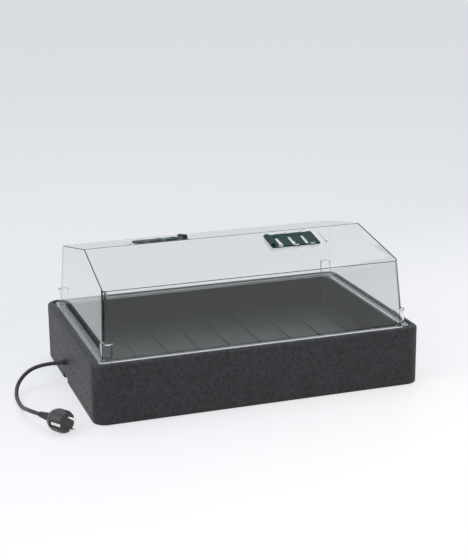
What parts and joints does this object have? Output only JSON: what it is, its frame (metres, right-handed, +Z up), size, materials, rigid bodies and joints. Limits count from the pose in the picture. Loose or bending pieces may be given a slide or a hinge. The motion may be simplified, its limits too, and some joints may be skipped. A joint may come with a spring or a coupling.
{
  "type": "heated propagator",
  "caption": "Foam box with a heating mat inside, a hanging seed tray, a clear gable dome with sliding vents, and a mains lead with plug.",
  "frame": {"origin": "middle of the foam box's underside", "axes": "+X along the length, -Y to the front, +Z up; the lead leaves the -X wall"},
  "size_m": [0.7053, 0.4257, 0.2575],
  "materials": {
    "black_foam": "fine beaded matt",
    "black_rubber": "satin",
    "plug_black": "satin",
    "nickel": "polished",
    "mat_film": "satin",
    "wire_silicone": "satin",
    "core_blue": "satin",
    "cutout_white": "matt",
    "plate_aluminium": "rolled",
    "peg_plastic": "satin",
    "splice_white": "fine texture",
    "screw_steel": "plated",
    "crimp_brass": "plain",
    "tray_green": "satin gloss",
    "clear_dome": "clear gloss",
    "vent_green": "satin gloss"
  },
  "bodies": {
    "base": {"foam_base": "black_foam", "strain_relief": "black_rubber", "inner_lead": "black_rubber", "power_cord": "black_rubber", "plug_boot": "black_rubber", "plug_body": "plug_black", "plug_pin_live": "nickel", "plug_pin_neutral": "nickel", "earth_clips": "nickel", "heat_mat_lower_film": "mat_film", "heat_mat_upper_film": "mat_film", "heating_wire": "wire_silicone", "mat_tails": "wire_silicone", "lead_cores": "core_blue", "thermal_cutout": "cutout_white", "heat_spreader_plate": "plate_aluminium", "plate_pegs": "peg_plastic", "splice_box_base": "splice_white", "splice_box_cover": "splice_white", "cord_clamp": "peg_plastic", "splice_box_screws": "screw_steel", "cord_clamp_screws": "screw_steel", "crimp_sleeves": "crimp_brass"},
    "tray": {"planting_tray": "tray_green"},
    "dome": {"dome": "clear_dome"},
    "vent_front": {"vent_slider_front": "vent_green"},
    "vent_rear": {"vent_slider_rear": "vent_green"}
  },
  "joints": [
    {"name": "tray_lift", "type": "slide", "parent": "base", "child": "tray", "axis": [0, 0, 1], "range_m": [0, 0.12]},
    {"name": "dome_lift", "type": "slide", "parent": "tray", "child": "dome", "axis": [0, 0, 1], "range_m": [0, 0.2]},
    {"name": "vent_front_slide", "type": "slide", "parent": "dome", "child": "vent_front", "axis": [1, 0, 0], "range_m": [0, 0.0125]},
    {"name": "vent_rear_slide", "type": "slide", "parent": "dome", "child": "vent_rear", "axis": [-1, 0, 0], "range_m": [0, 0.0125]}
  ]
}
